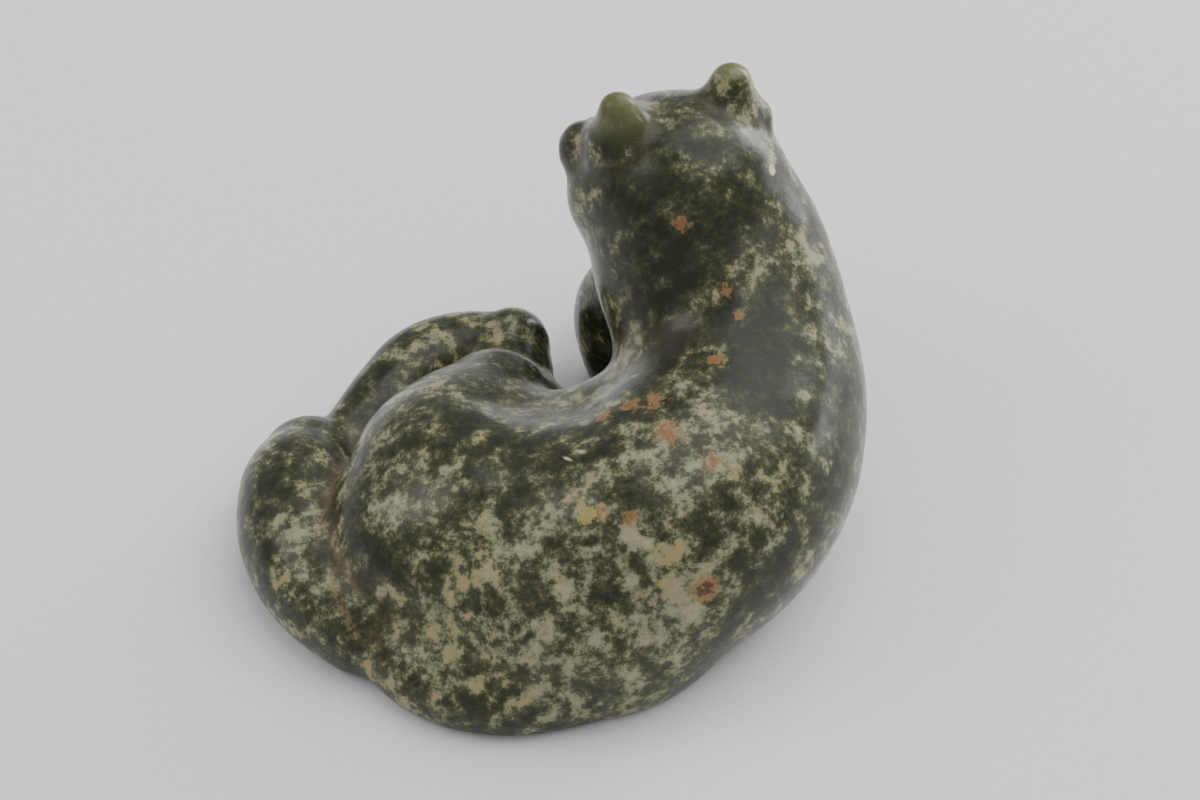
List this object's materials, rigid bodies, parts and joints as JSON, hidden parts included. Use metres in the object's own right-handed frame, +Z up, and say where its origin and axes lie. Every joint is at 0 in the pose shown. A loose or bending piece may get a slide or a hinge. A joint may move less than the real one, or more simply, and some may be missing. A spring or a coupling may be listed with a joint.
{
  "type": "soapstone bear carving",
  "caption": "Hand-size polished stone bear that sits curled on its rump with its head turned down to its feet, carved in one piece.",
  "frame": {"origin": "on the ground under the middle of the carving's box", "axes": "+Z up from the flat resting face; the hind feet point to -X, and the head is at the +Y side, turned towards -X and +Y"},
  "size_m": [0.084, 0.0844, 0.0541],
  "materials": {
    "polished_soapstone": "polished, dark olive green with pale grey-green and tan blotches"
  },
  "bodies": {
    "root": {"bear_carving": "polished_soapstone"}
  },
  "joints": []
}
